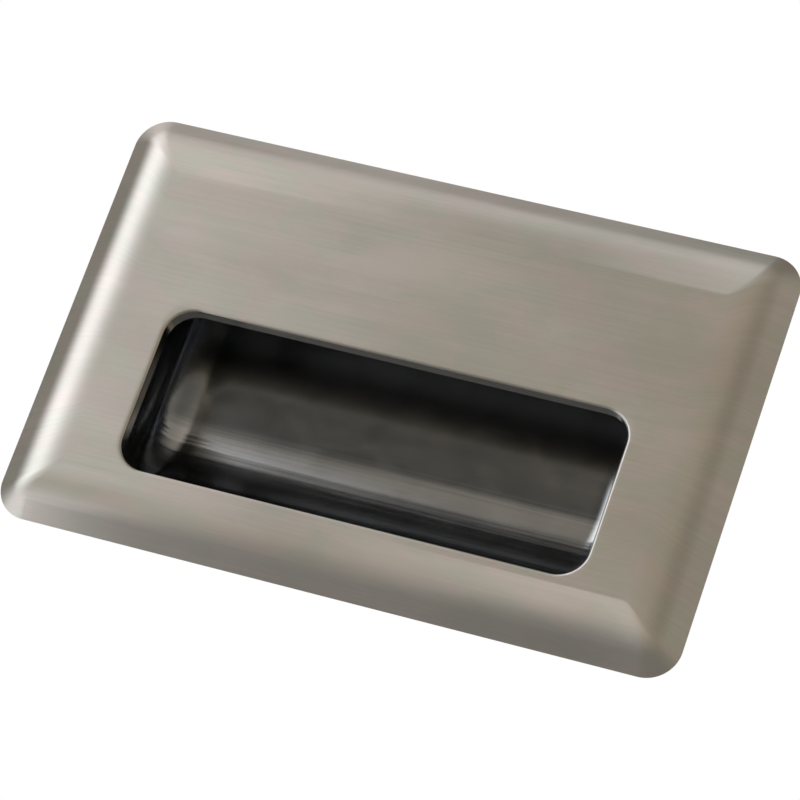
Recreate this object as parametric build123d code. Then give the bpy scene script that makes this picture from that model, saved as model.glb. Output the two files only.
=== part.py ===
from build123d import *
from math import asin, cos, degrees, radians, sin, tan
import os

# Flush pull for a door or drawer front. Millimetres, X to the right, Z up, Y into the door.
# The origin is the centre of the mounting plane, where the rim of the face plate meets the door.
# A depth is measured from the front of the face towards the door.

# Face plate: one pressed sheet
PLATE_WIDTH = 120.0
PLATE_HEIGHT = 77.0
PLATE_SHEET = 1.0
FACE_PROUD = 4.0
BEVEL_ANGLE = 45.0
RIM_INNER_BEND = 0.5
FLAT_CORNER_RADIUS = 1.0

# Finger opening in the face, with its edge turned in. The side band runs from the plate's edge to it.
SIDE_BAND = 18.9
OPENING_HEIGHT = 30.0
OPENING_DROP = 11.4
OPENING_CORNER_RADIUS = 5.1
LIP_DEPTH = 2.6

# Finger cup: one drawn sheet with a flange
CUP_SHEET = 0.8
CUP_DEPTH = 16.0
CUP_THROAT_WALL = 1.6
CUP_END_GAP = 0.9
CUP_FOOT_GAP = 0.4
CUP_UNDERCUT = 16.4
CUP_SCOOP_HEIGHT = 19.0
FLANGE_RIM_GAP = 1.5
FLANGE_CORNER_RADIUS = 3.0

# Weld studs on the flange, one beside each end of the cup, level with the middle of the plate
STUD_DIAMETER = 4.0
STUD_LENGTH = 12.0
STUD_TIP_CHAMFER = 0.5
STUD_BASE_DIAMETER = 5.5
STUD_BASE_THICKNESS = 0.8

# Fixings that clamp the door panel
PANEL_THICKNESS = 2.0
WASHER_CUP_GAP = 0.7
WASHER_BORE_CLEARANCE = 0.15
WASHER_DIAMETER = 9.0
WASHER_THICKNESS = 0.8
SPRING_WASHER_CLEARANCE = 0.1
SPRING_WASHER_DIAMETER = 7.2
SPRING_WASHER_THICKNESS = 1.0
SPRING_WASHER_SLIT = 0.8
SPRING_WASHER_SLIT_ANGLE = 20.0
NUT_SIDES = 6
NUT_ACROSS_FLATS = 7.0
NUT_HEIGHT = 3.2
NUT_THREAD_CLEARANCE = 0.05
NUT_CORNER_ANGLE = 30.0

UPWARDS = (Align.CENTER, Align.CENTER, Align.MIN)

# Places that follow from the sizes above
RIM_OUTER_BEND = RIM_INNER_BEND + PLATE_SHEET
BEVEL_RISE = FACE_PROUD - RIM_OUTER_BEND * (1 - cos(radians(BEVEL_ANGLE)))
BEVEL_RUN = BEVEL_RISE / tan(radians(BEVEL_ANGLE))
EDGE_RUN = BEVEL_RUN + RIM_OUTER_BEND * sin(radians(BEVEL_ANGLE))
FLAT_WIDTH = PLATE_WIDTH - 2 * EDGE_RUN
FLAT_HEIGHT = PLATE_HEIGHT - 2 * EDGE_RUN
OPENING_WIDTH = PLATE_WIDTH - 2 * SIDE_BAND
OPENING_Z = -OPENING_DROP
CUP_HALF_WIDTH = OPENING_WIDTH / 2 + PLATE_SHEET + CUP_END_GAP
CUP_FOOT_Z = OPENING_Z - OPENING_HEIGHT / 2 - PLATE_SHEET - CUP_FOOT_GAP
CUP_TOP_Z = OPENING_Z + OPENING_HEIGHT / 2 + CUP_UNDERCUT
CUP_MOUTH_Z = (CUP_TOP_Z + CUP_FOOT_Z) / 2
CUP_MOUTH_HEIGHT = CUP_TOP_Z - CUP_FOOT_Z
CUP_CORNER_RADIUS = OPENING_CORNER_RADIUS + PLATE_SHEET + CUP_END_GAP
CUP_THROAT = CUP_SHEET + CUP_THROAT_WALL
THROAT_DEPTH = PLATE_SHEET + CUP_THROAT
FLANGE_BACK = PLATE_SHEET + CUP_SHEET
STUD_X = CUP_HALF_WIDTH + CUP_SHEET + WASHER_CUP_GAP + WASHER_DIAMETER / 2
WASHER_DEPTH = FACE_PROUD + PANEL_THICKNESS
SPRING_WASHER_DEPTH = WASHER_DEPTH + WASHER_THICKNESS
NUT_DEPTH = SPRING_WASHER_DEPTH + SPRING_WASHER_THICKNESS

# Core of the cup: its side view without the rounded border. A place is a depth and a height.
CORE_DEPTH = CUP_DEPTH - CUP_CORNER_RADIUS
CORE_FOOT = (THROAT_DEPTH, CUP_FOOT_Z + CUP_CORNER_RADIUS)
CORE_WALL = (CORE_DEPTH, CUP_FOOT_Z + CUP_SCOOP_HEIGHT)
CORE_TOP = (CORE_DEPTH, CUP_TOP_Z - CUP_CORNER_RADIUS)
CORE_THROAT_TOP = (THROAT_DEPTH, CUP_TOP_Z - CUP_CORNER_RADIUS)
CORE_REACH = CORE_DEPTH - THROAT_DEPTH
CORE_RISE = CUP_SCOOP_HEIGHT - CUP_CORNER_RADIUS
CORE_RADIUS = (CORE_REACH**2 + CORE_RISE**2) / (2 * CORE_REACH)
SCOOP_CENTRE = (CORE_DEPTH - CORE_RADIUS, CORE_WALL[1])
SCOOP_START = 90 - degrees(asin(CORE_RISE / CORE_RADIUS))


def at_depth(depth):
    """Plane parallel to the door, at a depth behind the front of the face."""
    return Plane.XZ.offset(FACE_PROUD - depth)


def slab(outline, front, back):
    """Outline drawn on the face, made solid from one depth to another."""
    return extrude(at_depth(front) * outline, front - back)


def frame_of(section, width, height, corner, centre_z, depth):
    """Section carried round a rounded rectangle; its x runs outwards and its y forwards."""
    path = (at_depth(depth) * Pos(0, centre_z) * RectangleRounded(width, height, corner)).face().outer_wire()
    start = path @ 0
    along = path % 0
    forwards = Vector(0, -1, 0)
    outwards = along.cross(forwards)
    if outwards.dot(start - Vector(0, start.Y, centre_z)) < 0:
        outwards = -outwards
    return sweep(Plane(start, x_dir=outwards, z_dir=outwards.cross(forwards)) * section, path)


def rim_section():
    """Cut through the rim: the bevel from the door and the bend into the face."""
    lean = radians(BEVEL_ANGLE)
    centre = Vector(-EDGE_RUN, FACE_PROUD - RIM_OUTER_BEND)
    square = Vector(sin(lean), cos(lean))
    outer_start = centre + square * RIM_OUTER_BEND
    outer_end = centre + Vector(0, RIM_OUTER_BEND)
    inner_start = centre + square * RIM_INNER_BEND
    inner_end = centre + Vector(0, RIM_INNER_BEND)
    foot = Vector(-PLATE_SHEET / sin(lean), 0)
    outline = [
        Line((0, 0), outer_start),
        RadiusArc(outer_start, outer_end, -RIM_OUTER_BEND),
        Line(outer_end, inner_end),
        RadiusArc(inner_end, inner_start, RIM_INNER_BEND),
        Line(inner_start, foot),
        Line(foot, (0, 0)),
    ]
    return make_face(outline)


def turned_edge_section(sheet, length):
    """Cut through a sheet that turns sharply from a flat flange into a wall of a given length."""
    outline = [
        Line((0, -length), (0, -sheet)),
        RadiusArc((0, -sheet), (sheet, 0), sheet),
        Line((sheet, 0), (sheet, -length)),
        Line((sheet, -length), (0, -length)),
    ]
    return make_face(outline)


def sheet_with_mouth(outline, front, sheet, mouth, length):
    """Flat sheet with a rounded mouth whose edge is turned towards the door.

    The mouth is the width, height and corner radius inside the turned edge, and the height of its centre.
    """
    width, height, corner, centre_z = mouth
    hole = Pos(0, centre_z) * RectangleRounded(width + 2 * sheet, height + 2 * sheet, corner + sheet)
    turned = frame_of(turned_edge_section(sheet, length), width, height, corner, centre_z, front)
    return slab(outline - hole, front, front + sheet) + turned


def face_plate():
    """Pressed sheet: flat face, bevelled rim and the opening's lip."""
    flat = RectangleRounded(FLAT_WIDTH, FLAT_HEIGHT, FLAT_CORNER_RADIUS)
    mouth = (OPENING_WIDTH, OPENING_HEIGHT, OPENING_CORNER_RADIUS, OPENING_Z)
    face = sheet_with_mouth(flat, 0, PLATE_SHEET, mouth, LIP_DEPTH)
    corner = FLAT_CORNER_RADIUS + EDGE_RUN
    return face + frame_of(rim_section(), PLATE_WIDTH, PLATE_HEIGHT, corner, 0, FACE_PROUD)


def across_cup(place, turn):
    """Plane across the cup at a place; its y looks down at 0 degrees, to the door at 90 and up at 180."""
    depth, height = place
    outwards = Vector(0, sin(radians(turn)), -cos(radians(turn)))
    return Plane((0, depth - FACE_PROUD, height), x_dir=(1, 0, 0), z_dir=Vector(1, 0, 0).cross(outwards))


def border_section(half_width, radius):
    """Cut across the cup through its border, as high as its radius and rounded at both ends."""
    flat = half_width - radius
    outline = [
        CenterArc((-flat, 0), radius, 180, -90),
        Line((-flat, radius), (flat, radius)),
        CenterArc((flat, 0), radius, 90, -90),
        Line((half_width, 0), (-half_width, 0)),
    ]
    return make_face(outline)


def bent_border(section, centre, inner_radius, start, end):
    """Border turned about a place, its inner side at a radius, from one angle to another."""
    depth, height = centre
    axis = Axis((0, depth - FACE_PROUD, height), (1, 0, 0))
    return revolve(across_cup(centre, start) * Pos(0, inner_radius) * section, axis, end - start)


def cup_form(skin):
    """Solid form of the cup's inside where the skin is 0, and of its outside where it is the sheet.

    The core is as wide as the cup and flat at its ends. The rounded border is carried round it: round the
    foot, up the scoop and the back wall, over the top and forwards to the throat.
    """
    half_width = CUP_HALF_WIDTH + skin
    border = border_section(half_width, CUP_CORNER_RADIUS + skin)
    side_view = make_face([
        RadiusArc(CORE_FOOT, CORE_WALL, -CORE_RADIUS),
        Polyline(CORE_WALL, CORE_TOP, CORE_THROAT_TOP, CORE_FOOT),
    ])
    core = Plane((0, -FACE_PROUD, 0), x_dir=(0, 1, 0), z_dir=(1, 0, 0)) * side_view
    return (
        extrude(core, half_width, both=True)
        + bent_border(border, CORE_FOOT, 0, 0, SCOOP_START)
        + bent_border(border, SCOOP_CENTRE, CORE_RADIUS, SCOOP_START, 90)
        + extrude(across_cup(CORE_WALL, 90) * border, CORE_TOP[1] - CORE_WALL[1])
        + bent_border(border, CORE_TOP, 0, 90, 180)
        + extrude(across_cup(CORE_TOP, 180) * border, CORE_REACH)
    )


def finger_cup():
    """Drawn cup with its flange, which lies on the back of the face."""
    width = FLAT_WIDTH - 2 * FLANGE_RIM_GAP
    height = FLAT_HEIGHT - 2 * FLANGE_RIM_GAP
    outline = RectangleRounded(width, height, FLANGE_CORNER_RADIUS)
    mouth = (2 * CUP_HALF_WIDTH, CUP_MOUTH_HEIGHT, CUP_CORNER_RADIUS, CUP_MOUTH_Z)
    flange = sheet_with_mouth(outline, PLATE_SHEET, CUP_SHEET, mouth, CUP_THROAT)
    return flange + cup_form(CUP_SHEET) - cup_form(0)


def weld_stud():
    """Threaded stud with the base disc that was welded to the flange, standing on the back of the flange."""
    base = Cylinder(STUD_BASE_DIAMETER / 2, STUD_BASE_THICKNESS, align=UPWARDS)
    shank = Cylinder(STUD_DIAMETER / 2, STUD_LENGTH, align=UPWARDS)
    shank = chamfer(shank.edges().sort_by(Axis.Z)[-1], STUD_TIP_CHAMFER)
    return base + shank


def ring(bore, diameter, thickness):
    """Flat ring lying on the XY plane."""
    return extrude(Circle(diameter / 2) - Circle(bore / 2), thickness)


def plain_washer():
    """Flat washer."""
    return ring(STUD_DIAMETER + 2 * WASHER_BORE_CLEARANCE, WASHER_DIAMETER, WASHER_THICKNESS)


def spring_washer():
    """Spring washer, pressed flat by the nut, with its slit across the ring at a slant."""
    bore = STUD_DIAMETER + 2 * SPRING_WASHER_CLEARANCE
    closed = ring(bore, SPRING_WASHER_DIAMETER, SPRING_WASHER_THICKNESS)
    slit = Box(
        SPRING_WASHER_DIAMETER, SPRING_WASHER_SLIT, 3 * SPRING_WASHER_THICKNESS,
        align=(Align.MIN, Align.CENTER, Align.CENTER),
    )
    return closed - Pos(0, 0, SPRING_WASHER_THICKNESS / 2) * Rot(X=SPRING_WASHER_SLIT_ANGLE) * slit


def hex_nut():
    """Hexagon nut with its corners turned off at both faces."""
    flat = NUT_ACROSS_FLATS / 2
    corner = flat / cos(radians(180 / NUT_SIDES))
    drop = (corner - flat) * tan(radians(NUT_CORNER_ANGLE))
    bore = STUD_DIAMETER / 2 + NUT_THREAD_CLEARANCE
    half_section = Polyline(
        (bore, 0), (flat, 0), (corner, drop), (corner, NUT_HEIGHT - drop), (flat, NUT_HEIGHT),
        (bore, NUT_HEIGHT), close=True,
    )
    turned = revolve(Plane.XZ * make_face(half_section), Axis.Z)
    return turned & extrude(RegularPolygon(corner, NUT_SIDES), NUT_HEIGHT)


def at_studs(fastener, depth):
    """The same fastener at both stud places, its foot at a depth."""
    places = GridLocations(2 * STUD_X, 0, 2, 1)
    towards_door = Plane((0, depth - FACE_PROUD, 0), x_dir=(1, 0, 0), z_dir=(0, 1, 0))
    return Compound([towards_door * place * fastener for place in places])


os.makedirs("parts", exist_ok=True)
export_step(face_plate(), "parts/face_plate.step")
export_step(finger_cup(), "parts/finger_cup.step")
export_step(at_studs(weld_stud(), FLANGE_BACK), "parts/weld_studs.step")
export_step(at_studs(plain_washer(), WASHER_DEPTH), "parts/plain_washers.step")
export_step(at_studs(spring_washer(), SPRING_WASHER_DEPTH), "parts/spring_washers.step")
export_step(at_studs(hex_nut(), NUT_DEPTH), "parts/hex_nuts.step")
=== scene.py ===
"""Looks of the flush pull: surfaces, finishes, light and camera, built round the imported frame.

Sizes are in millimetres until a mesh is made. A depth is measured from the front of the face towards the
door, as in the part's source, and Y is the depth less the height of the face above the door.
"""

import logging
from dataclasses import dataclass, field
from enum import Enum
from typing import Protocol

import bmesh
import bpy
import numpy as np
from mathutils import Matrix, Vector

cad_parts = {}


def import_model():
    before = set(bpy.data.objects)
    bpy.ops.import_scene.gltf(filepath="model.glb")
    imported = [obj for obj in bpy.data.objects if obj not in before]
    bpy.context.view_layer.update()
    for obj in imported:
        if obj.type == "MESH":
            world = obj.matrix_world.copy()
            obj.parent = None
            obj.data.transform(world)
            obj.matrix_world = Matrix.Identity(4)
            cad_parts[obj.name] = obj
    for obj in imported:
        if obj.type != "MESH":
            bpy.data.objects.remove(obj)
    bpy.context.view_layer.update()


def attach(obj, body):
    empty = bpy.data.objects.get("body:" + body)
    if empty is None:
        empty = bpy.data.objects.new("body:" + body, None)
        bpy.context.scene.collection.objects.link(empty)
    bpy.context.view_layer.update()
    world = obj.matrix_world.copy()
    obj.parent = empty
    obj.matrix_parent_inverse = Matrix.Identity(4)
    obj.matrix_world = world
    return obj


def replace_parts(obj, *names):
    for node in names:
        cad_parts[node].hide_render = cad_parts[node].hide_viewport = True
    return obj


LOG = logging.getLogger("flush_pull")
Socket = bpy.types.NodeSocket
MM = 0.001
FACE_PROUD = 4.0
SHEET_MAP = "sheet"
SECOND_FINISH = "second_finish"

# In metres: points this close are one, and edges this short go.
SAME_POINT = 2e-7
STRAY_EDGE = 1e-8

# Sockets of a Mix node that mixes colours.
MIX_INPUTS = (0, 6, 7)
MIX_RESULT = 2


class Slot(Enum):
    """Material slots of the record."""

    SATIN = "satin_steel"
    BRIGHT = "bright_steel"
    FIXING = "fixing_steel"
    SPRING = "spring_steel"


# ---- surfaces ----


@dataclass
class Surface:
    """A grid of points, and the place of each on the unrolled sheet.

    points has rows x columns x (x, depth, z); sheet has rows x columns x (up, across). second says how
    much of the sheet's second finish shows, by row or by row and column: unground on the face plate,
    wavy from drawing on the cup.
    """

    points: np.ndarray
    sheet: np.ndarray
    second: np.ndarray | None = None


@dataclass(frozen=True)
class RoundedRectangle:
    """A rounded rectangle facing the front, as half sizes, corner radius and height of its centre."""

    half_width: float
    half_height: float
    radius: float
    centre_z: float = 0.0

    def grown(self, by: float) -> "RoundedRectangle":
        """The parallel outline, a distance outside this one."""
        return RoundedRectangle(
            self.half_width + by, self.half_height + by, self.radius + by, self.centre_z
        )


@dataclass(frozen=True)
class Track:
    """Where the points of a closed track stand, whatever rounded rectangle it goes round.

    share is each point's share of the half sizes inside the corners, and normal points outwards.
    """

    share: np.ndarray
    normal: np.ndarray

    @classmethod
    def even(cls, corner: int, wide: int, tall: int) -> "Track":
        """Track with evenly spaced points.

        Formula: each corner turns its normal through a quarter circle at a fixed share, and each side
        runs its share from one corner to the next at a fixed normal.

        Args:
            corner: steps round each corner.
            wide: steps along the top and the foot.
            tall: steps along each end.

        Returns:
            The track, closed, with its first point repeated at the end.
        """
        shares, normals = [], []
        signs = [(1, 1), (-1, 1), (-1, -1), (1, -1)]
        for k, (sign, after) in enumerate(zip(signs, signs[1:] + signs[:1])):
            turn = np.radians(90 * k + np.linspace(0, 90, corner + 1))
            shares.append(np.tile(np.array(sign, float), (corner + 1, 1)))
            normals.append(np.stack([np.cos(turn), np.sin(turn)], 1))
            steps = wide if k % 2 == 0 else tall
            t = np.linspace(0, 1, steps + 1)[1:-1, None]
            shares.append((1 - t) * np.array(sign, float) + t * np.array(after, float))
            normals.append(np.tile(normals[-1][-1], (len(t), 1)))
        share, normal = np.concatenate(shares), np.concatenate(normals)
        return cls(np.vstack([share, share[:1]]), np.vstack([normal, normal[:1]]))

    @classmethod
    def through(cls, loop: np.ndarray, shape: RoundedRectangle) -> "Track":
        """Track whose points on a given rounded rectangle are the given ones.

        Formula: a point is held inside the corners' centres; what is held is its share, and what is
        left over, divided by the radius, is its normal.

        Args:
            loop: points x (x, z).
            shape: the rounded rectangle that they lie on.

        Returns:
            The track.
        """
        inner = np.array([shape.half_width - shape.radius, shape.half_height - shape.radius])
        place = loop - np.array([0.0, shape.centre_z])
        held = np.clip(place, -inner, inner)
        return cls(held / inner, (place - held) / shape.radius)

    def on(self, shape: RoundedRectangle) -> np.ndarray:
        """Points x (x, z) of the track on a rounded rectangle."""
        inner = np.array([shape.half_width - shape.radius, shape.half_height - shape.radius])
        return self.share * inner + self.normal * shape.radius + np.array([0.0, shape.centre_z])


def length_along(line: np.ndarray) -> np.ndarray:
    """Length of a line from its start to each of its points."""
    return np.concatenate([[0], np.cumsum(np.linalg.norm(np.diff(line, axis=0), axis=1))])


def rings(outlines: list[np.ndarray], depths: list[float], flats: list[np.ndarray]) -> Surface:
    """Surface through a stack of closed outlines.

    Args:
        outlines: one array of points x (x, z) for each ring.
        depths: the ring's depth.
        flats: the same points on the unrolled sheet.

    Returns:
        The surface, a row for each ring.
    """
    xz = np.stack(outlines)
    depth = np.broadcast_to(np.array(depths)[:, None], xz.shape[:2])
    flat = np.stack(flats)
    return Surface(
        np.stack([xz[..., 0], depth, xz[..., 1]], -1), np.stack([flat[..., 1], flat[..., 0]], -1)
    )


def grid(first: np.ndarray, second: np.ndarray) -> np.ndarray:
    """Pairs of two coordinates, each spread over the rows and columns of both."""
    return np.stack(np.broadcast_arrays(first, second), -1)


def around(radius: np.ndarray, depth: np.ndarray, angle: np.ndarray) -> np.ndarray:
    """Points about the depth axis: the radius times the angle's cosine and sine, at the depth."""
    return np.stack([radius * np.cos(angle), depth + 0 * angle, radius * np.sin(angle)], -1)


def turned(profile: np.ndarray, steps: int) -> Surface:
    """Surface of revolution about the depth axis through the origin.

    Formula: the profile, carried round the axis.

    Args:
        profile: points x (radius, depth).
        steps: steps round the full circle.

    Returns:
        The surface, closed round the circle.
    """
    angle = np.linspace(0, 2 * np.pi, steps + 1)
    radius, depth = profile[:, 0][:, None], profile[:, 1][:, None]
    return Surface(around(radius, depth, angle), grid(length_along(profile)[:, None], angle))


def strip(front: Surface, back: Surface, row: int, second: np.ndarray | None = None) -> Surface:
    """Strip that joins a row of two surfaces."""
    points = np.stack([front.points[row], back.points[row]])
    return Surface(points, np.stack([front.sheet[row], back.sheet[row]]), second)


def at_place(surface: Surface, x: float, depth: float, z: float = 0.0) -> Surface:
    """The same surface, moved to a place."""
    return Surface(surface.points + np.array([x, depth, z]), surface.sheet, surface.second)


def sheet_object(
    name: str, surfaces: list[Surface], slot: Slot, finish: "Finish", sharp: float = 32.0
) -> bpy.types.Object:
    """Mesh object from surfaces that meet at their edges.

    Points that coincide are merged, so the result is closed, and its faces are turned outwards.

    Args:
        name: name of the piece.
        surfaces: grids that close on each other.
        slot: material slot of the record; not used.
        finish: what makes its material.
        sharp: angle in degrees above which an edge stays sharp.

    Returns:
        The object, riding on the frame's one body.
    """
    points, sheets, seconds, quads, start = [], [], [], [], 0
    for surface in surfaces:
        rows, columns = surface.points.shape[:2]
        index = start + np.arange(rows * columns).reshape(rows, columns)
        corner = [index[:-1, :-1], index[:-1, 1:], index[1:, 1:], index[1:, :-1]]
        quads.append(np.stack([c.ravel() for c in corner], 1))
        points.append(surface.points.reshape(-1, 3))
        sheets.append(surface.sheet.reshape(-1, 2))
        second = np.zeros(rows) if surface.second is None else surface.second
        seconds.append(np.broadcast_to(second.reshape(rows, -1), (rows, columns)).ravel())
        start += rows * columns
    place = np.concatenate(points) * MM
    place[:, 1] -= FACE_PROUD * MM
    mesh = bpy.data.meshes.new(name)
    mesh.from_pydata(place, [], np.concatenate(quads))
    loops = np.empty(len(mesh.loops), np.int32)
    mesh.loops.foreach_get("vertex_index", loops)
    uv = mesh.uv_layers.new(name=SHEET_MAP)
    uv.data.foreach_set("uv", (np.concatenate(sheets) * MM)[loops].astype(np.float32).ravel())
    shown = mesh.attributes.new(SECOND_FINISH, "FLOAT", "POINT")
    shown.data.foreach_set("value", np.concatenate(seconds).astype(np.float32))
    work = bmesh.new()
    work.from_mesh(mesh)
    bmesh.ops.remove_doubles(work, verts=work.verts, dist=SAME_POINT)
    bmesh.ops.dissolve_degenerate(work, edges=work.edges, dist=STRAY_EDGE)
    bmesh.ops.recalc_face_normals(work, faces=work.faces)
    open_edges = sum(not edge.is_manifold for edge in work.edges)
    work.to_mesh(mesh)
    work.free()
    mesh.shade_smooth()
    mesh.set_sharp_from_angle(angle=np.radians(sharp))
    mesh.materials.append(finish.material())
    piece = bpy.data.objects.new(name, mesh)
    bpy.context.scene.collection.objects.link(piece)
    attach(piece, "root")
    LOG.info("%s: %d faces, %d open edges", name, len(mesh.polygons), open_edges)
    return piece


# ---- finishes ----


class Nodes:
    """Short way to write a node tree."""

    def __init__(self, tree: bpy.types.NodeTree) -> None:
        """Clears the tree."""
        self.tree = tree
        tree.nodes.clear()

    @classmethod
    def material(cls, name: str) -> tuple[bpy.types.Material, "Nodes"]:
        """A new material, and its empty node tree."""
        made = bpy.data.materials.new(name)
        made.use_nodes = True
        return made, cls(made.node_tree)

    def feed(self, socket: Socket, value: object) -> None:
        """Links a socket to another one, or sets it to a plain value."""
        if isinstance(value, Socket):
            self.tree.links.new(value, socket)
        else:
            socket.default_value = value

    def add(self, kind: str, settings: dict | None = None, **inputs: object) -> bpy.types.Node:
        """Adds a node.

        Args:
            kind: the node's type, without "ShaderNode".
            settings: the node's own properties.
            inputs: its sockets by name, with spaces as underscores, or as i and their number; a value
                or a socket to link.

        Returns:
            The node.
        """
        node = self.tree.nodes.new("ShaderNode" + kind)
        for key, value in (settings or {}).items():
            setattr(node, key, value)
        for key, value in inputs.items():
            name = key.replace("_", " ")
            self.feed(node.inputs[int(name[1:]) if name[1:].isdigit() else name], value)
        return node

    def math(self, operation: str, *values: object) -> Socket:
        """One arithmetic step; returns its result."""
        inputs = {f"i{k}": value for k, value in enumerate(values)}
        return self.add("Math", {"operation": operation}, **inputs).outputs[0]

    def weighted(self, *parts: tuple) -> Socket:
        """Sum of two sockets, given as pairs of a socket and its weight."""
        return self.math("ADD", *[self.math("MULTIPLY", socket, weight) for socket, weight in parts])

    def ramp(self, factor: Socket, stops: tuple | list, blend: str = "EASE") -> Socket:
        """Colour ramp.

        Args:
            factor: what it reads.
            stops: (position, grey or colour) from low to high.
            blend: how it goes from stop to stop.

        Returns:
            Its colour.
        """
        node = self.add("ValToRGB", Fac=factor)
        node.color_ramp.interpolation = blend
        elements = node.color_ramp.elements
        while len(elements) < len(stops):
            elements.new(1.0)
        for element, (position, colour) in zip(elements, stops):
            element.position = position
            rgb = (colour,) * 3 if isinstance(colour, (int, float)) else tuple(colour)
            element.color = (*rgb, 1.0)
        return node.outputs["Color"]

    def noise(self, vector: Socket, scale: tuple, detail: float, distortion: float = 0.0) -> Socket:
        """Noise whose grain is stretched by a scale for each axis.

        Args:
            vector: the coordinates that it reads.
            scale: grains per metre of each coordinate; on the sheet, up and across.
            detail: how many finer noises it carries.
            distortion: how far the grain is bent.

        Returns:
            Its value.
        """
        mapped = self.add("Mapping", Vector=vector, Scale=scale).outputs[0]
        noise = self.add("TexNoise", Vector=mapped, Scale=1.0, Detail=detail, Distortion=distortion)
        return noise.outputs["Fac"]

    def mix(self, factor: object, first: object, second: object) -> Socket:
        """Mix of two colours.

        Args:
            factor: how much of the second colour shows, as a number or a socket.
            first: red, green and blue, or a socket.
            second: the same.

        Returns:
            The colour.
        """
        node = self.add("Mix", {"data_type": "RGBA"})
        for index, value in zip(MIX_INPUTS, (factor, first, second)):
            self.feed(node.inputs[index], (*value, 1.0) if isinstance(value, tuple) else value)
        return node.outputs[MIX_RESULT]

    def sheet(self) -> Socket:
        """Place on the unrolled sheet, in metres: up, then across."""
        return self.add("UVMap", {"uv_map": SHEET_MAP}).outputs[0]

    def second_finish(self) -> Socket:
        """How much of the sheet's second finish shows."""
        return self.add("Attribute", {"attribute_name": SECOND_FINISH}).outputs["Fac"]

    def bump(self, height: Socket, size: float, **inputs: object) -> Socket:
        """Bump of a height times a size in millimetres; returns the normal."""
        return self.add("Bump", Height=height, Distance=size * MM, **inputs).outputs[0]

    def tangent(self) -> Socket:
        """Direction up the sheet, which the shine of its grain follows."""
        return self.add("Tangent", {"direction_type": "UV_MAP", "uv_map": SHEET_MAP}).outputs[0]

    def metal(self, **inputs: object) -> None:
        """Ends the tree in bare metal."""
        shader = self.add("BsdfPrincipled", Metallic=1.0, **inputs)
        self.add("OutputMaterial", Surface=shader.outputs[0])


class Finish(Protocol):
    """What dresses a piece."""

    def material(self) -> bpy.types.Material:
        """Makes the material."""


@dataclass(frozen=True)
class SatinSteel:
    """Sheet ground across its width: hair-fine grain, faint streaks, and cloudy tints between them.

    Where the belt didn't reach, on the lip and behind, the sheet is still as rolled, darker and smoother.
    """

    green: tuple = (0.605, 0.61, 0.575)
    pink: tuple = (0.655, 0.61, 0.595)
    rolled: tuple = (0.50, 0.49, 0.475)
    shading: float = 0.13
    roughness: float = 0.41
    rolled_roughness: float = 0.16
    swing: float = 0.04
    anisotropy: float = 0.8
    grain_height: float = 0.0035
    rolled_grain: float = 0.2
    fine_scale: tuple = (9000.0, 160.0, 1.0)
    streak_scale: tuple = (2200.0, 40.0, 1.0)
    cloud_scale: tuple = (75.0, 30.0, 1.0)
    patch_scale: tuple = (150.0, 90.0, 1.0)
    patch_stops: tuple = ((0.38, 0.0), (0.62, 1.0))
    shade_stops: tuple = ((0.34, 0.15), (0.66, 0.75))

    def material(self) -> bpy.types.Material:
        """Makes the material."""
        made, nodes = Nodes.material("satin_steel")
        sheet, raw = nodes.sheet(), nodes.second_finish()
        fine = nodes.noise(sheet, self.fine_scale, 4.0)
        streaks = nodes.noise(sheet, self.streak_scale, 5.0)
        clouds = nodes.noise(sheet, self.cloud_scale, 4.0, 0.4)
        patches = nodes.noise(sheet, self.patch_scale, 5.0, 0.8)
        tint = nodes.mix(nodes.ramp(patches, self.patch_stops), self.green, self.pink)
        shade = nodes.weighted((streaks, 0.35), (clouds, 0.65))
        ground = nodes.mix(self.shading, tint, nodes.ramp(shade, self.shade_stops))
        rough = nodes.math("MULTIPLY_ADD", clouds, 2 * self.swing, self.roughness - self.swing)
        smoother = nodes.math("SUBTRACT", self.rolled_roughness, rough)
        bump = nodes.bump(
            nodes.weighted((fine, 0.6), (streaks, 0.5)), self.grain_height,
            Strength=nodes.math("MULTIPLY_ADD", raw, self.rolled_grain - 1.0, 1.0),
        )
        nodes.metal(
            Base_Color=nodes.mix(raw, ground, self.rolled),
            Roughness=nodes.math("MULTIPLY_ADD", smoother, raw, rough),
            Anisotropic=self.anisotropy, Tangent=nodes.tangent(), Normal=bump,
        )
        return made


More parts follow.
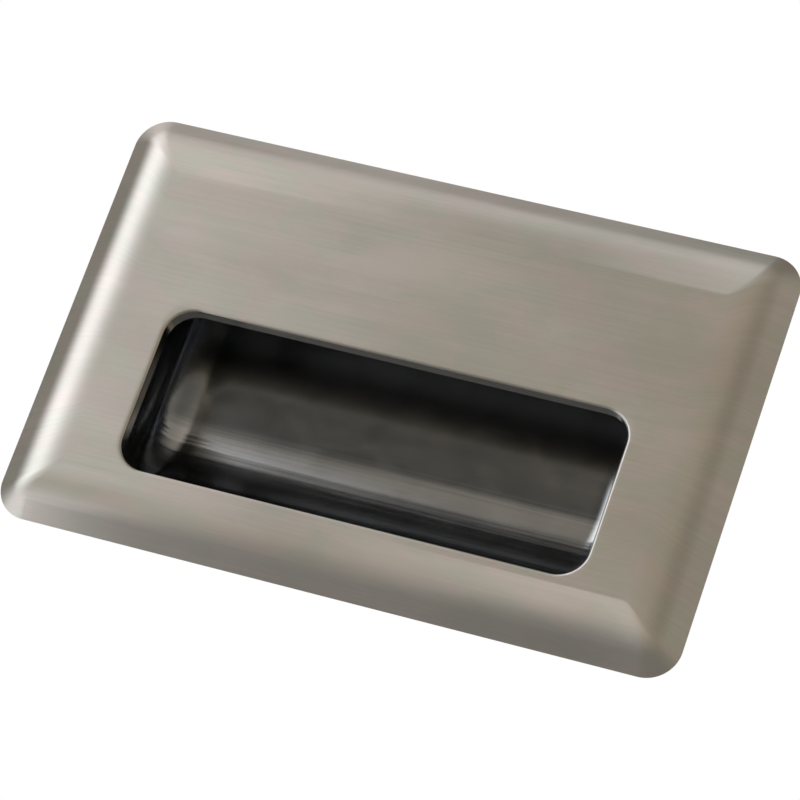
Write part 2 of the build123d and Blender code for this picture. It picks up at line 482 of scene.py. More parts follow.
@dataclass(frozen=True)
class RolledSteel:
    """Bright rolled sheet, drawn deep: smooth, with faint lines, smudges, and draw waves in the scoop.
    Both tones sit below bare steel, as painted shade for the inside of the recess.
    """

    # Painted shade: both tones are set darker than the face's steel, which darkens the whole cup; the
    # smudge between them is the sheet's own tone.
    light: tuple = (0.425, 0.44, 0.465)
    dark: tuple = (0.385, 0.40, 0.425)
    roughness: float = 0.17
    drawn_roughness: float = 0.15
    swing: float = 0.03
    anisotropy: float = 0.3
    wave_height: float = 0.065
    line_height: float = 0.0012
    line_scale: tuple = (3200.0, 120.0, 1.0)
    smudge_scale: tuple = (160.0, 110.0, 1.0)
    wave_scale: tuple = (560.0, 8.0, 1.0)
    smudge_stops: tuple = ((0.35, 0.0), (0.7, 1.0))

    def material(self) -> bpy.types.Material:
        """Makes the material."""
        made, nodes = Nodes.material("bright_steel")
        sheet, scoop = nodes.sheet(), nodes.second_finish()
        lines = nodes.noise(sheet, self.line_scale, 4.0)
        smudge = nodes.noise(sheet, self.smudge_scale, 4.0, 0.6)
        waves = nodes.noise(sheet, self.wave_scale, 2.0)
        smoother = self.drawn_roughness - self.roughness
        low = nodes.math("MULTIPLY_ADD", scoop, smoother, self.roughness - self.swing)
        drawn = nodes.bump(nodes.math("MULTIPLY", waves, scoop), self.wave_height, Strength=1.0)
        nodes.metal(
            Base_Color=nodes.mix(nodes.ramp(smudge, self.smudge_stops), self.dark, self.light),
            Roughness=nodes.math("MULTIPLY_ADD", smudge, 2 * self.swing, low),
            Anisotropic=self.anisotropy, Tangent=nodes.tangent(),
            Normal=nodes.bump(lines, self.line_height, Strength=1.0, Normal=drawn),
        )
        return made


@dataclass(frozen=True)
class TurnedSteel:
    """Plated steel of fasteners: soft shine, fine mottling, and turning marks square to the axis."""

    name: str
    light: tuple
    dark: tuple
    roughness: float
    swing: float = 0.08
    mark_height: float = 0.002
    mottle_scale: tuple = (700.0, 700.0, 700.0)
    mark_scale: tuple = (300.0, 5200.0, 300.0)
    mottle_stops: tuple = ((0.38, 0.0), (0.66, 1.0))

    def material(self) -> bpy.types.Material:
        """Makes the material."""
        made, nodes = Nodes.material(self.name)
        place = nodes.add("TexCoord").outputs["Object"]
        mottle = nodes.noise(place, self.mottle_scale, 5.0)
        marks = nodes.noise(place, self.mark_scale, 3.0)
        nodes.metal(
            Base_Color=nodes.mix(nodes.ramp(mottle, self.mottle_stops), self.dark, self.light),
            Roughness=nodes.math("MULTIPLY_ADD", mottle, 2 * self.swing, self.roughness - self.swing),
            Normal=nodes.bump(marks, self.mark_height, Strength=1.0),
        )
        return made


@dataclass(frozen=True)
class WeldMark:
    """Steel tinted by the heat of a spot weld: grey, blue-grey, straw, then bright again.

    The stops go by the distance from the middle, as a share of the reach in millimetres.
    """

    reach: float = 2.2
    roughness: float = 0.42
    uneven: float = 0.25
    uneven_scale: tuple = (900.0, 900.0, 900.0)
    stops: tuple = (
        (0.0, (0.42, 0.42, 0.43)), (0.45, (0.30, 0.32, 0.38)),
        (0.68, (0.42, 0.33, 0.24)), (0.95, (0.58, 0.57, 0.55)),
    )

    def material(self) -> bpy.types.Material:
        """Makes the material; the sheet map's first coordinate runs out from the middle."""
        made, nodes = Nodes.material("weld_mark")
        out = nodes.add("SeparateXYZ", Vector=nodes.sheet()).outputs[0]
        place = nodes.add("TexCoord").outputs["Object"]
        blotches = nodes.noise(place, self.uneven_scale, 3.0)
        shift = nodes.math("MULTIPLY_ADD", blotches, self.uneven, -0.48 * self.uneven)
        share = nodes.math("MULTIPLY_ADD", out, 1 / (self.reach * MM), shift)
        nodes.metal(Base_Color=nodes.ramp(share, self.stops), Roughness=self.roughness)
        return made


# ---- pieces ----


@dataclass
class FacePlate:
    """The pressed sheet: flat face, soft bend, bevelled rim, and the lip turned in round the opening.

    Counts in pairs are for the front skin and the back skin.
    """

    width: float = 120.0
    height: float = 77.0
    sheet: float = 1.0
    bevel: float = 40.0
    bend_length: float = 8.4
    bend_power: float = 2.1
    foot_radius: float = 5.4
    corner_softness: float = 1.6
    opening: RoundedRectangle = RoundedRectangle(41.1, 15.0, 5.1, -11.4)
    lip_radius: float = 0.5
    lip_depth: float = 2.6
    least_radius: float = 0.05
    lip_steps: tuple = (8, 4)
    flat_rings: tuple = (18, 5)
    rim_steps: tuple = (26, 10)
    bend_samples: int = 400
    track: Track = field(default_factory=lambda: Track.even(20, 56, 34))

    def outline(self, inside: float) -> RoundedRectangle:
        """Outline of the plate, a distance inside its foot.

        Formula: the corner radius falls with the distance, and levels off softly above nothing.

        Args:
            inside: distance inside the foot.

        Returns:
            The outline.
        """
        left = self.foot_radius - inside
        radius = (left + np.hypot(left, 2 * self.corner_softness)) / 2
        return RoundedRectangle(self.width / 2 - inside, self.height / 2 - inside, radius)

    def rim_profile(self, skin: float, steps: int) -> list[tuple]:
        """One skin of the rim, from the flat outwards.

        Formula: the tilt grows with a power of the way round the bend, up to the bevel's angle, and the
        front skin is the running sum of its cosine and sine. The other skin stands off it square to the
        sheet. A straight run follows, down to the door.

        Args:
            skin: depth of the skin in the sheet.
            steps: steps round the bend.

        Returns:
            (distance out from the flat's edge, depth, unrolled distance) for each ring.
        """
        lean = np.radians(self.bevel)
        way = np.linspace(0, 1, self.bend_samples + 1)
        tilt = lean * way**self.bend_power
        middle = (tilt[1:] + tilt[:-1]) / 2
        stretch = self.bend_length / self.bend_samples
        out = np.concatenate([[0], np.cumsum(np.cos(middle))]) * stretch
        depth = np.concatenate([[0], np.cumsum(np.sin(middle))]) * stretch
        pick = np.linspace(0, self.bend_samples, steps + 1).astype(int)
        out = (out - skin * np.sin(tilt))[pick]
        depth = (depth + skin * np.cos(tilt))[pick]
        run = (FACE_PROUD - depth[-1]) / np.sin(lean)
        step = np.linspace(0, run, 5)[1:]
        return list(zip(
            np.concatenate([out, out[-1] + step * np.cos(lean)]),
            np.concatenate([depth, depth[-1] + step * np.sin(lean)]),
            np.concatenate([self.bend_length * way[pick], self.bend_length + step]),
        ))

    def lip_profile(self, skin: float, steps: int) -> list[tuple]:
        """One skin of the lip, from the flat inwards: an arc, then a straight run towards the door.

        Args:
            skin: depth of the skin in the sheet.
            steps: steps round the bend.

        Returns:
            (distance outside the opening, depth, unrolled distance from the flat) for each ring.
        """
        turn = np.linspace(0, np.pi / 2, steps + 1)
        radius = max(self.lip_radius - skin, self.least_radius)
        out = radius + skin - radius * np.sin(turn)
        depth = skin + radius * (1 - np.cos(turn))
        step = np.linspace(0, self.lip_depth - depth[-1], 4)[1:]
        return list(zip(
            np.concatenate([out, out[-1] + 0 * step]),
            np.concatenate([depth, depth[-1] + step]),
            np.concatenate([radius * turn, radius * np.pi / 2 + step]),
        ))

    def skin(self, skin: float) -> Surface:
        """One skin of the plate, from the lip's end to the foot of the rim.

        Formula: the rings morph in straight lines from the opening to the flat's edge, and then follow
        the rim's profile as outlines inside the foot.

        Args:
            skin: depth of the skin in the sheet, 0 for the front.

        Returns:
            The surface.
        """
        side = 1 if skin else 0
        edge = self.rim_profile(0.0, 1)[-1][0]
        lip = self.lip_profile(skin, self.lip_steps[side])
        rim = self.rim_profile(skin, self.rim_steps[side])
        on = self.track.on
        outlines = [on(self.opening.grown(out)) for out, _, _ in reversed(lip)]
        depths = [depth for _, depth, _ in reversed(lip)]
        flats = [on(self.opening.grown(lip[0][0] - along)) for _, _, along in reversed(lip)]
        inner, outer = outlines[-1], on(self.outline(edge))
        for share in np.linspace(0, 1, self.flat_rings[side])[1:-1]:
            outlines.append((1 - share) * inner + share * outer)
            depths.append(skin)
            flats.append(outlines[-1])
        outlines += [on(self.outline(edge - out)) for out, _, _ in rim]
        depths += [depth for _, depth, _ in rim]
        flats += [on(self.outline(edge).grown(along)) for _, _, along in rim]
        surface = rings(outlines, depths, flats)
        surface.second = np.zeros(len(depths)) + (skin > 0)
        surface.second[: len(lip)] = np.clip(np.array(depths[: len(lip)]) / self.lip_radius, 0, 1)
        return surface

    def build(self) -> bpy.types.Object:
        """Builds the plate and dresses it.

        Returns:
            The piece.
        """
        front, back = self.skin(0.0), self.skin(self.sheet)
        ends = [strip(front, back, row, np.array([front.second[row], 1.0])) for row in (0, -1)]
        piece = sheet_object("pressed_face_plate", [front, back, *ends], Slot.SATIN, SatinSteel())
        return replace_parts(piece, "face_plate")


@dataclass
class FingerCup:
    """The drawn cup behind the opening, with its flange.

    The path's steps are for the foot, the scoop, the wall, the turn over the top, and the way forwards.
    Draw waves show between the first and the last of the drawn rows of points.
    """

    half_width: float = 43.0
    foot_z: float = -27.8
    top_z: float = 20.0
    depth: float = 16.0
    throat: float = 3.4
    corner: float = 7.0
    scoop_height: float = 19.0
    sheet: float = 0.8
    flange_front: float = 1.0
    fold: float = 0.6
    flange: RoundedRectangle = RoundedRectangle(53.88, 32.38, 3.0)
    path_steps: tuple = (12, 26, 16, 22, 7)
    across_points: int = 61
    end_points: int = 15
    fill_points: int = 9
    drawn_rows: tuple = ((2, 9, 33, 40), (0, 1, 1, 0))
    flange_shares: tuple = (0.33, 0.66, 1.0)

    def path(self) -> tuple[np.ndarray, np.ndarray, np.ndarray]:
        """Side view of the cup's core: round the foot, up the scoop and the wall, over the top.

        Formula: two of the five stretches turn about a fixed point, the scoop is an arc that ends
        upright in the back wall, and the others are straight.

        Returns:
            Points x (depth, z), normals x (depth, z), and each point's share of the way by height.
        """
        r = self.corner
        core_depth = self.depth - r
        reach, rise = core_depth - self.throat, self.scoop_height - r
        radius = (reach**2 + rise**2) / (2 * reach)
        wall_z, top_z, foot_z = self.foot_z + self.scoop_height, self.top_z - r, self.foot_z + r
        start = np.pi / 2 - np.arcsin(rise / radius)
        foot = np.linspace(0, start, self.path_steps[0])
        scoop = np.linspace(start, np.pi / 2, self.path_steps[1])[1:]
        wall = np.linspace(0, 1, self.path_steps[2])[1:]
        over = np.linspace(np.pi / 2, np.pi, self.path_steps[3])[1:]
        top = np.linspace(0, 1, self.path_steps[4])[1:]
        turn = np.concatenate([foot, scoop, 0 * wall + np.pi / 2, over, 0 * top + np.pi])
        depth = np.concatenate([
            0 * foot + self.throat,
            core_depth - radius * (1 - np.sin(scoop)),
            0 * wall + core_depth,
            0 * over + core_depth,
            core_depth - top * reach,
        ])
        z = np.concatenate([
            0 * foot + foot_z,
            wall_z - radius * np.cos(scoop),
            wall_z + wall * (top_z - wall_z),
            0 * over + top_z,
            0 * top + top_z,
        ])
        core = np.stack([depth, z], 1)
        way = length_along(core)
        return core, np.stack([np.sin(turn), -np.cos(turn)], 1), way / way[-1]

    def bowl(self, skin: float) -> Surface:
        """Inside of the cup where the skin is 0, and its outside where it is the sheet.

        Formula: across the cup, a point stands off the core by the corner radius times the sine of an
        angle that falls from a right angle in the middle to nothing at the end walls, and the end
        walls are filled back to the throat in straight lines.

        Args:
            skin: distance outside the inner skin.

        Returns:
            The surface, its edge at the throat.
        """
        core, normal, way = self.path()
        radius = self.corner + skin
        flat = self.half_width - self.corner
        fill = np.linspace(1, 0, self.fill_points)
        turn = np.radians(np.linspace(0, 90, self.end_points))[1:]
        middle = np.linspace(-1, 1, self.across_points)[1:-1]
        side = np.concatenate([flat + radius + 0 * fill, flat + radius * np.cos(turn)])
        off = np.concatenate([0 * fill, radius * np.sin(turn)])
        share = np.concatenate([fill, 0 * turn])
        x = np.concatenate([-side, middle * flat, side[::-1]])
        off = np.concatenate([off, 0 * middle + radius, off[::-1]])
        share = np.concatenate([share, 0 * middle, share[::-1]])
        line = np.stack([0 * way + self.throat, core[0, 1] + way * (core[-1, 1] - core[0, 1])], 1)
        place = (
            core[:, None] * (1 - share)[None, :, None]
            + line[:, None] * share[None, :, None]
            + normal[:, None] * off[None, :, None]
        )
        wide = np.broadcast_to(x, place.shape[:2])
        points = np.stack([wide, place[..., 0], place[..., 1]], -1)
        drawn = np.interp(np.arange(len(way)), *self.drawn_rows)[:, None] * (1 - share)
        return Surface(points, grid(length_along(core + normal * radius)[:, None], wide), drawn)

    @staticmethod
    def edge_of(bowl: Surface) -> np.ndarray:
        """The bowl's edge at the throat.

        Args:
            bowl: the bowl's surface.

        Returns:
            Closed loop of points x (x, z), with no point twice in a row.
        """
        p = bowl.points[..., [0, 2]]
        loop = np.concatenate([p[0, :-1], p[:-1, -1], p[-1, :0:-1], p[::-1, 0]])
        moves = np.linalg.norm(np.diff(loop, axis=0), axis=1)
        return loop[np.concatenate([[True], moves > 1e-6])]

    def collar(self, skin: float, steps: int) -> Surface:
        """From the throat forwards, round the fold and out over the flange.

        Args:
            skin: distance outside the inner skin.
            steps: steps round the fold.

        Returns:
            The surface, from the throat to the flange's edge.
        """
        half_height, centre_z = (self.top_z - self.foot_z) / 2, (self.top_z + self.foot_z) / 2
        mouth = RoundedRectangle(self.half_width, half_height, self.corner, centre_z)
        track = Track.through(self.edge_of(self.bowl(skin)), mouth.grown(skin))
        start = self.flange_front + skin
        radius = self.fold + self.sheet - skin
        turn = np.linspace(0, np.pi / 2, steps + 1)
        out = np.concatenate([[0.0, 0.0], radius * (1 - np.cos(turn))])
        depth = np.concatenate([
            [self.throat, (self.throat + start + radius) / 2], start + radius * (1 - np.sin(turn))
        ])
        outlines = [track.on(mouth.grown(skin + o)) for o in out]
        rim = track.on(self.flange)
        depths = list(depth)
        for share in self.flange_shares:
            outlines.append((1 - share) * outlines[len(out) - 1] + share * rim)
            depths.append(start)
        return rings(outlines, depths, outlines)

    def build(self) -> bpy.types.Object:
        """Builds the cup and dresses it.

        Returns:
            The piece.
        """
        front, back = self.collar(0.0, 8), self.collar(self.sheet, 6)
        surfaces = [self.bowl(0.0), self.bowl(self.sheet), front, back, strip(front, back, -1)]
        piece = sheet_object("drawn_finger_cup", surfaces, Slot.BRIGHT, RolledSteel())
        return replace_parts(piece, "finger_cup")


@dataclass
class Fixings:
    """Studs on the flange, and the washers and nuts on them."""

    stud_x: float = 49.0
    flange_back: float = 1.8
    washer_depth: float = 6.0
    spring_depth: float = 6.8
    nut_depth: float = 7.8
    sharp: float = 28.0
    pitch: float = 0.7
    stud_radius: float = 2.0
    stud_length: float = 12.0
    tip_chamfer: float = 0.5
    thread_depth: float = 0.32
    thread_start: float = 1.6
    thread_fade: float = 0.8
    base_depths: tuple = (0.0, 0.0, 0.75, 0.8)
    base_radii: tuple = (0.0, 2.75, 2.75, 2.55)
    flat: float = 3.5
    nut_height: float = 3.2
    nut_bore: float = 2.05
    nut_thread: float = 0.2
    bore_chamfer: float = 0.42
    face_rim: float = 0.12
    corner_angle: float = 30.0

    def both(
        self, name: str, surfaces: list[Surface], depth: float, slot: Slot, node: str, finish: Finish
    ) -> bpy.types.Object:
        """The same fastener at both studs.

        Args:
            name: name of the piece.
            surfaces: one fastener, round the axis.
            depth: where its front stands.
            slot: material slot of the record.
            node: the node that it stands for.
            finish: its finish.

        Returns:
            The dressed piece.
        """
        placed = [at_place(s, side * self.stud_x, depth) for side in (-1, 1) for s in surfaces]
        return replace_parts(sheet_object(name, placed, slot, finish, self.sharp), node)

    def thread(self, depth: np.ndarray, angle: np.ndarray) -> np.ndarray:
        """Wave of the thread from 0 to 1 over each pitch of depth, moved on by one pitch a turn."""
        return np.abs(((depth / self.pitch - angle / (2 * np.pi)) % 1.0) * 2 - 1)

    def stud(self) -> list[Surface]:
        """Base disc and threaded shank.

        Formula: along the shank the radius falls and rises with the thread's wave, which fades out at
        the base, and it is held below the cone of the tip.

        Returns:
            The surface, closed at both ends.
        """
        base, end = self.base_depths[-1], self.stud_length
        depth = np.concatenate([[base], np.arange(base + 0.06, end, self.pitch / 8), [end]])[:, None]
        angle = np.linspace(0, 2 * np.pi, 49)
        cut = self.thread_depth * np.clip(1.35 * self.thread(depth, angle) - 0.15, 0, 1)
        fade = np.clip((depth - self.thread_start) / self.thread_fade, 0, 1)
        tip = end - depth + self.stud_radius - self.tip_chamfer
        shank = np.minimum(self.stud_radius - cut * fade, tip)
        disc = np.array(self.base_radii)[:, None] + 0 * angle
        radius = np.vstack([disc, shank, 0 * shank[:1]])
        depth = np.concatenate([np.array(self.base_depths)[:, None], depth, depth[-1:]])
        return [Surface(around(radius, depth, angle), grid(depth, angle))]

    @staticmethod
    def ring(bore: float, outer: float, thick: float, edge: float) -> list[Surface]:
        """Flat ring with its edges rounded.

        Formula: a rounded rectangle between the bore and the outside, carried round the axis.

        Args:
            bore: inner radius.
            outer: outer radius.
            thick: thickness.
            edge: radius of its edges.

        Returns:
            The surface.
        """
        turn = np.radians(np.linspace(0, 90, 5))
        quarter = edge * np.stack([np.cos(turn), np.sin(turn)], 1)
        flip = [(1, 1), (-1, 1), (-1, -1), (1, -1)]
        out, back = (bore + edge, outer - edge), (edge, thick - edge)
        centre = [(out[sx > 0], back[sy > 0]) for sx, sy in flip]
        arcs = [
            np.array(c) + (quarter if sx * sy > 0 else quarter[::-1]) * (sx, sy)
            for c, (sx, sy) in zip(centre, flip)
        ]
        profile = np.concatenate(arcs)
        return [turned(np.vstack([profile, profile[:1]]), 96)]

    @staticmethod
    def split_ring(bore: float, outer: float, thick: float, slit: float, slant: float) -> list[Surface]:
        """Spring washer: a square section carried from one side of the slit to the other.

        Formula: the start and end angles are those at which the slit's two sides, which lean with the
        depth, cross each point's radius.

        Args:
            bore: inner radius.
            outer: outer radius.
            thick: thickness.
            slit: width of the slit.
            slant: lean of the slit in degrees.

        Returns:
            The ring, and the two ends at the slit.
        """
        corners = np.array([(bore, 0.0), (outer, 0.0), (outer, thick), (bore, thick), (bore, 0.0)])
        step = np.linspace(0, 1, 5)[:-1, None]
        sides = [(1 - step) * a + step * b for a, b in zip(corners, corners[1:])]
        section = np.vstack([*sides, corners[:1]])
        radius, depth = section[:, 0], section[:, 1]
        lean = (depth - thick / 2) * np.tan(np.radians(slant))
        half = slit / 2 / np.cos(np.radians(slant))
        begin = np.arcsin((lean + half) / radius)
        end = 2 * np.pi + np.arcsin((lean - half) / radius)
        angle = begin + np.linspace(0, 1, 97)[:, None] * (end - begin)
        points = around(radius, depth, angle)
        caps = []
        for rim in (points[0], points[-1]):
            cap = np.stack([rim, rim * 0 + rim[:-1].mean(0)])
            caps.append(Surface(cap, 0 * cap[..., :2]))
        return [Surface(points, grid(angle, radius)), *caps]

    def nut(self) -> list[Surface]:
        """Hexagon nut.

        Formula: the outside is the flat's distance over the cosine of the angle from its middle; a cone
        at each face cuts the corners in curves; the bore has the thread's wave, and opens in two cones.

        Returns:
            The surface, closed on itself.
        """
        angle = np.linspace(0, 2 * np.pi, 121)
        side = self.flat / np.cos((angle + np.pi / 6) % (np.pi / 3) - np.pi / 6)
        face = self.flat - self.face_rim
        cone = face + np.linspace(0, 1, 5)[:, None] * (side - face)
        drop = (cone - face) * np.tan(np.radians(self.corner_angle))
        deep = np.linspace(0, self.nut_height, 42)[:, None]
        mouth = np.maximum(0, self.bore_chamfer - np.minimum(deep, self.nut_height - deep))
        bore = self.nut_bore + np.maximum(self.nut_thread * self.thread(deep, angle), mouth)
        radius = np.vstack([cone, cone[::-1], bore[::-1], cone[:1]])
        deep = deep + 0 * angle
        depth = np.vstack([drop, self.nut_height - drop[::-1], deep[::-1], drop[:1]])
        return [Surface(around(radius, depth, angle), grid(depth, angle))]

    def build(self) -> list[bpy.types.Object]:
        """Builds the fixings and dresses them.

        Returns:
            The pieces.
        """
        plated = TurnedSteel("plated_steel", (0.72, 0.72, 0.72), (0.60, 0.60, 0.62), 0.27)
        spring = TurnedSteel("spring_steel", (0.54, 0.54, 0.56), (0.42, 0.42, 0.44), 0.36)
        flat = self.ring(bore=2.15, outer=4.5, thick=0.8, edge=0.14)
        split = self.split_ring(bore=2.1, outer=3.6, thick=1.0, slit=0.8, slant=20.0)
        return [
            self.both("threaded_studs", self.stud(), self.flange_back, Slot.FIXING, "weld_studs", plated),
            self.both("flat_washers", flat, self.washer_depth, Slot.FIXING, "plain_washers", plated),
            self.both("split_washers", split, self.spring_depth, Slot.SPRING, "spring_washers", spring),
            self.both("hexagon_nuts", self.nut(), self.nut_depth, Slot.FIXING, "hex_nuts", plated),
        ]


@dataclass
class WeldMarks:
    """Shallow craters on the back of the flange, where it is spot-welded to the face plate."""

    radius: float = 2.0
    height: float = 0.06
    dish: float = 0.25
    crest: float = 0.74
    crest_width: float = 0.13
    rim_height: float = 0.004
    sunk: float = 0.02
    back: float = 1.8
    places: tuple = (
        (-36.0, 26.1), (-12.0, 26.1), (12.0, 26.1), (36.0, 26.1),
        (-48.6, 17.0), (48.6, 17.0), (-48.6, -17.0), (48.6, -17.0),
    )

    def build(self) -> bpy.types.Object:
        """Builds the marks: a low ring of pushed-up metal round a dish.

        Formula: the height is a bell curve about the crest, over that of the dish, down to the edge.

        Returns:
            The piece.
        """
        out = np.linspace(0, 1, 14)
        bell = np.exp(-(((out - self.crest) / self.crest_width) ** 2))
        rise = self.height * (self.dish + (1 - self.dish) * bell) * (1 - out**8)
        top = np.stack([out * self.radius, rise + self.rim_height], 1)
        under = np.array([(self.radius, -self.sunk), (0.0, -self.sunk)])
        mark = turned(np.vstack([top, under]), 40)
        placed = [at_place(mark, x, self.back, z) for x, z in self.places]
        return sheet_object("spot_weld_marks", placed, Slot.BRIGHT, WeldMark())


# ---- light and camera ----


@dataclass(frozen=True)
class Glow:
    """A soft light on the room's walls: its brightness by azimuth times its brightness by elevation.

    Azimuth is in degrees from straight in front of the face, to the right. Elevation is above level.
    """

    around: tuple
    up: tuple
    tint: tuple

    def colour(self, nodes: Nodes, azimuth: Socket, elevation: Socket) -> Socket:
        """The glow's colour for a direction.

        Formula: each ramp reaches 1 at its brightest stop, and the peaks are multiplied in after.

        Args:
            nodes: the world's node tree.
            azimuth: the direction's azimuth, 0 to 1 from -180 to 180 degrees.
            elevation: its elevation, 0 to 1 from -90 to 90 degrees.

        Returns:
            The colour.
        """
        peaks = [max(value for _, value in stops) for stops in (self.around, self.up)]
        around = [((angle + 180) / 360, value / peaks[0]) for angle, value in self.around]
        up = [((angle + 90) / 180, value / peaks[1]) for angle, value in self.up]
        share = nodes.math(
            "MULTIPLY", nodes.ramp(azimuth, around, "CARDINAL"), nodes.ramp(elevation, up, "CARDINAL")
        )
        level = nodes.math("MULTIPLY", share, peaks[0] * peaks[1])
        return nodes.add("VectorMath", {"operation": "SCALE"}, i0=self.tint, Scale=level).outputs[0]


WINDOW = Glow(
    (
        (-180, 0.0), (-100, 0.0), (-82, 0.15), (-66, 1.0), (-57, 2.1), (-38, 2.25),
        (-31, 1.45), (-25, 0.35), (-21, 0.0), (180, 0.0),
    ),
    (
        (-90, 0.0), (-60, 0.1), (-30, 0.35), (-5, 0.75), (15, 0.95), (45, 0.95),
        (62, 0.5), (76, 0.1), (90, 0.0),
    ),
    (1.0, 1.0, 1.0),
)
COOL_STRIP = Glow(
    ((-180, 0.0), (-47, 0.0), (-37, 0.3), (-25, 0.45), (-18, 0.25), (-12, 0.0), (90, 0.0), (180, 0.0)),
    ((-90, 0.0), (-15, 0.0), (-7, 0.3), (-1, 1.0), (7, 1.0), (10, 0.3), (13, 0.0), (90, 0.0)),
    (1.0, 0.93, 0.80),
)
WARM_STRIP = Glow(
    (
        (-180, 0.0), (-27, 0.0), (-19, 0.45), (-12, 0.85), (0, 0.9), (12, 0.65),
        (30, 0.52), (60, 0.45), (90, 0.2), (110, 0.0), (180, 0.0),
    ),
    (
        (-90, 0.0), (-15, 0.0), (-7, 0.15), (0, 0.65), (7, 1.0), (11, 0.9),
        (15, 0.2), (18, 0.0), (90, 0.0),
    ),
    (1.0, 0.80, 0.50),
)
CEILING = Glow(
    (
        (-180, 0.17), (-90, 0.18), (-45, 0.28), (-26, 0.24), (-12, 0.4), (20, 0.33),
        (60, 0.28), (90, 0.19), (180, 0.17),
    ),
    ((-90, 0.0), (23, 0.0), (33, 1.0), (48, 0.95), (62, 0.75), (90, 0.55)),
    (1.0, 0.88, 0.70),
)
WALLS = Glow(
    (
        (-180, 0.3), (-110, 0.38), (-80, 0.2), (-60, 0.12), (-30, 0.04), (-18, 0.06),
        (-8, 0.22), (10, 0.2), (40, 0.2), (75, 0.4), (110, 0.45), (180, 0.3),
    ),
    ((-90, 0.7), (-60, 0.7), (-20, 0.5), (0, 0.8), (20, 0.9), (40, 0.9), (60, 0.3), (90, 0.1)),
    (1.0, 0.93, 0.80),
)


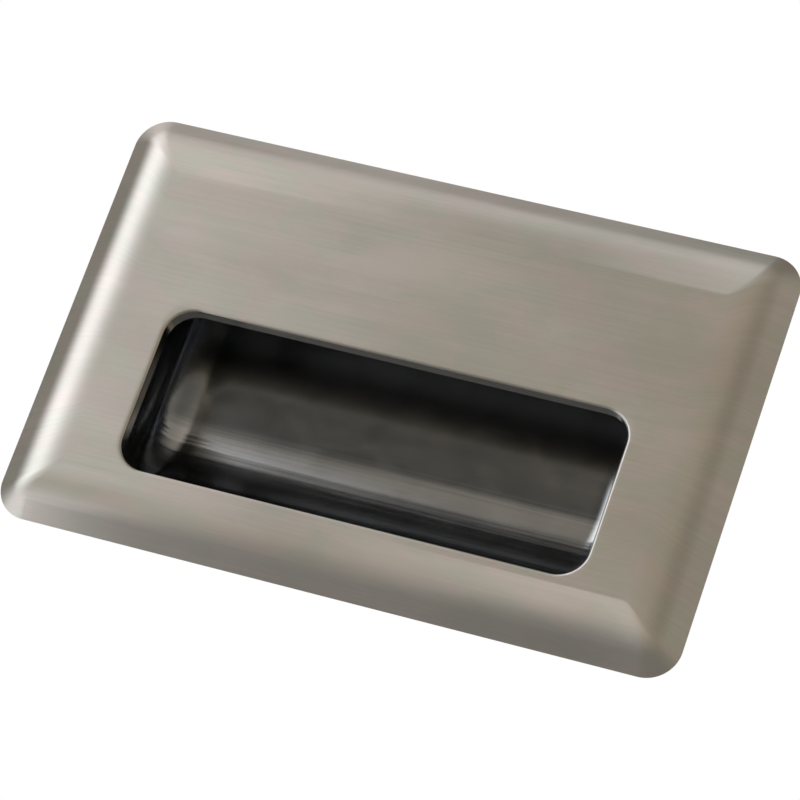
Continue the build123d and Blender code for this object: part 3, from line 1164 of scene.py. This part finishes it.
@dataclass
class Studio:
    """White backdrop, pale floor, a lit card, and a room that is the sum of its glows.

    Sizes and places are in metres. The backdrop fades in where a direction's Y is between two values.
    """

    glows: tuple = (WINDOW, COOL_STRIP, WARM_STRIP, CEILING, WALLS)
    behind: tuple = (0.6, 0.85)
    floor_z: float = -0.33
    floor_half: float = 3.0
    floor_colour: tuple = (0.42, 0.425, 0.43, 1.0)
    card_x: tuple = (-0.34, -0.088)
    card_y: tuple = (-0.15, 0.01)
    card_z: float = -0.115
    card_colour: tuple = (1.0, 0.99, 0.97, 1.0)
    card_strength: float = 1.4

    def world(self) -> None:
        """The room: the sum of its glows, and a white backdrop behind the object."""
        world = bpy.data.worlds.new("studio")
        bpy.context.scene.world = world
        world.use_nodes = True
        nodes = Nodes(world.node_tree)
        way = nodes.add("SeparateXYZ", Vector=nodes.add("TexCoord").outputs["Generated"]).outputs
        turn = nodes.math("ARCTAN2", way[0], nodes.math("MULTIPLY", way[1], -1.0))
        azimuth = nodes.math("MULTIPLY_ADD", turn, 1 / (2 * np.pi), 0.5)
        elevation = nodes.math("MULTIPLY_ADD", nodes.math("ARCSINE", way[2]), 1 / np.pi, 0.5)
        total = (0.0, 0.0, 0.0)
        for glow in self.glows:
            colour = glow.colour(nodes, azimuth, elevation)
            total = nodes.add("VectorMath", i0=total, i1=colour).outputs[0]
        room = nodes.add("Background", Color=total).outputs[0]
        behind = nodes.add(
            "MapRange", {"interpolation_type": "SMOOTHSTEP"}, Value=way[1],
            From_Min=self.behind[0], From_Max=self.behind[1],
        ).outputs[0]
        ray = nodes.add("LightPath").outputs
        mirrored = nodes.math("ADD", ray["Is Glossy Ray"], ray["Is Transmission Ray"])
        seen = nodes.add(
            "Math", {"operation": "MULTIPLY_ADD", "use_clamp": True},
            i0=mirrored, i1=behind, i2=ray["Is Camera Ray"],
        ).outputs[0]
        white = nodes.add("Background", Color=(1.0, 1.0, 1.0, 1.0), Strength=1.0).outputs[0]
        both = nodes.add("MixShader", i0=seen, i1=room, i2=white)
        nodes.add("OutputWorld", Surface=both.outputs[0])

    @staticmethod
    def level_sheet(name: str, x: np.ndarray, y: np.ndarray, z: float) -> bpy.types.Object:
        """Level sheet that faces up.

        Formula: the grid of all pairs of x and y, at one height.

        Args:
            name: its name.
            x: the lines' places along X.
            y: the lines' places along Y.
            z: the height.

        Returns:
            The object.
        """
        x, y = np.meshgrid(x, y, indexing="ij")
        index = np.arange(x.size).reshape(x.shape)
        corners = (index[:-1, :-1], index[1:, :-1], index[1:, 1:], index[:-1, 1:])
        mesh = bpy.data.meshes.new(name)
        mesh.from_pydata(
            np.stack([x.ravel(), y.ravel(), np.full(x.size, z)], 1), [],
            np.stack([c.ravel() for c in corners], 1),
        )
        sheet = bpy.data.objects.new(name, mesh)
        bpy.context.scene.collection.objects.link(sheet)
        return sheet

    def card(self) -> None:
        """White card lying below the object's left end, for the metal to mirror."""
        card = self.level_sheet("card", np.array(self.card_x), np.array(self.card_y), self.card_z)
        lit, nodes = Nodes.material("lit_card")
        light = nodes.add("Emission", Color=self.card_colour, Strength=self.card_strength)
        nodes.add("OutputMaterial", Surface=light.outputs[0])
        card.data.materials.append(lit)
        card.visible_camera = False

    def floor(self) -> None:
        """Pale floor below the object and the camera."""
        lines = np.linspace(-self.floor_half, self.floor_half, 13)
        floor = self.level_sheet("floor", lines, lines, self.floor_z)
        pale, nodes = Nodes.material("pale_floor")
        shader = nodes.add("BsdfPrincipled", Base_Color=self.floor_colour, Roughness=0.9)
        nodes.add("OutputMaterial", Surface=shader.outputs[0])
        floor.data.materials.append(pale)

    def build(self) -> None:
        """Lights the scene."""
        self.world()
        self.floor()
        self.card()
        bpy.context.scene.view_settings.view_transform = "Standard"


@dataclass
class Camera:
    """The photograph's viewpoint, low and to the right, tilted about its own axis."""

    place: tuple = (0.2013, -0.6228, -0.2428)
    aim: tuple = (0.00233, -0.004, -0.00349)
    roll: float = 19.86
    lens: float = 188.8

    def build(self) -> None:
        """Makes the camera the scene's own.

        Formula: level right and up directions across the line of sight, both turned by the roll.
        """
        data = bpy.data.cameras.new("camera")
        data.sensor_width = 36.0
        data.lens = self.lens
        data.clip_start, data.clip_end = 0.01, 20.0
        sight = (Vector(self.aim) - Vector(self.place)).normalized()
        level = sight.cross(Vector((0, 0, 1))).normalized()
        upright = level.cross(sight)
        turn = np.radians(self.roll)
        right = level * np.cos(turn) + upright * np.sin(turn)
        up = upright * np.cos(turn) - level * np.sin(turn)
        camera = bpy.data.objects.new("camera", data)
        axes = Matrix((right, up, -sight)).transposed().to_4x4()
        camera.matrix_world = Matrix.Translation(Vector(self.place)) @ axes
        bpy.context.scene.collection.objects.link(camera)
        bpy.context.scene.camera = camera


def main() -> None:
    """Builds every piece, lights it, and sets up the camera."""
    logging.basicConfig(level=logging.INFO, format="%(message)s")
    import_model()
    for maker in (FacePlate(), FingerCup(), Fixings(), WeldMarks()):
        maker.build()
    Studio().build()
    Camera().build()


if __name__ == "__main__":
    main()
